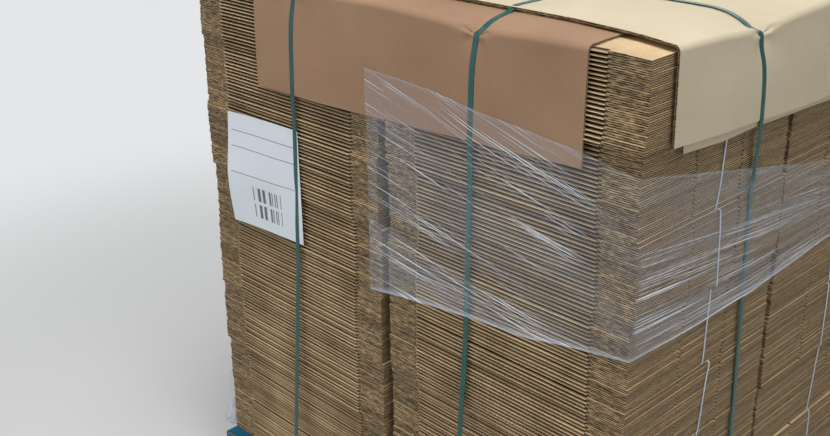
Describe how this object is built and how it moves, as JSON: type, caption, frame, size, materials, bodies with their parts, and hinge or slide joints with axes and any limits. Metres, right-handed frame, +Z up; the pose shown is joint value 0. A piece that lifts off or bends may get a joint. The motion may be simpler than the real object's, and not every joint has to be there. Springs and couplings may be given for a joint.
{
  "type": "shrink wrapped pallet load",
  "caption": "Strapped and part-wrapped pallet load of flat-folded corrugated cartons, tied in bundles and stacked in columns under bent cover sheets.",
  "frame": {"origin": "on the floor, under the middle of the pallet", "axes": "+Z up, X along the load's long side with +X at the end that the cover sheets are bent over, Y across the load with -Y the long side that carries the edge sheet and the paper label"},
  "size_m": [1.2193, 1.0026, 1.3591],
  "materials": {
    "carton_board": "raw kraft corrugated board",
    "edge_sheet": "brown kraft sheet board",
    "top_sheet": "pale kraft sheet board",
    "painted_wood": "worn blue paint on sawn boards",
    "strap_plastic": "embossed dark green strap",
    "twine": "thin pale blue twine",
    "film": "clear stretch film",
    "paper": "white paper"
  },
  "bodies": {
    "root": {"cartons_left_front_1": "carton_board", "cartons_left_front_2": "carton_board", "cartons_left_front_3": "carton_board", "cartons_left_front_4": "carton_board", "cartons_left_front_5": "carton_board", "cartons_left_front_6": "carton_board", "cartons_left_front_7": "carton_board", "cartons_left_front_8": "carton_board", "cartons_left_back_1": "carton_board", "cartons_left_back_2": "carton_board", "cartons_left_back_3": "carton_board", "cartons_left_back_4": "carton_board", "cartons_left_back_5": "carton_board", "cartons_left_back_6": "carton_board", "cartons_left_back_7": "carton_board", "cartons_left_back_8": "carton_board", "cartons_right_front_1": "carton_board", "cartons_right_front_2": "carton_board", "cartons_right_front_3": "carton_board", "cartons_right_front_4": "carton_board", "cartons_right_front_5": "carton_board", "cartons_right_front_6": "carton_board", "cartons_right_front_7": "carton_board", "cartons_right_front_8": "carton_board", "cartons_right_back_1": "carton_board", "cartons_right_back_2": "carton_board", "cartons_right_back_3": "carton_board", "cartons_right_back_4": "carton_board", "cartons_right_back_5": "carton_board", "cartons_right_back_6": "carton_board", "cartons_right_back_7": "carton_board", "cartons_right_back_8": "carton_board", "twine_left_front": "twine", "twine_left_back": "twine", "twine_right_front": "twine", "twine_right_back": "twine", "pallet_deck_boards": "painted_wood", "pallet_stringer_boards": "painted_wood", "pallet_blocks": "painted_wood", "pallet_bottom_boards": "painted_wood", "edge_cover_sheet": "edge_sheet", "under_cover_sheet": "top_sheet", "top_cover_sheet": "top_sheet", "strap_across_right": "strap_plastic", "strap_across_left": "strap_plastic", "strap_along": "strap_plastic", "stretch_film": "film", "paper_label": "paper"}
  },
  "joints": []
}
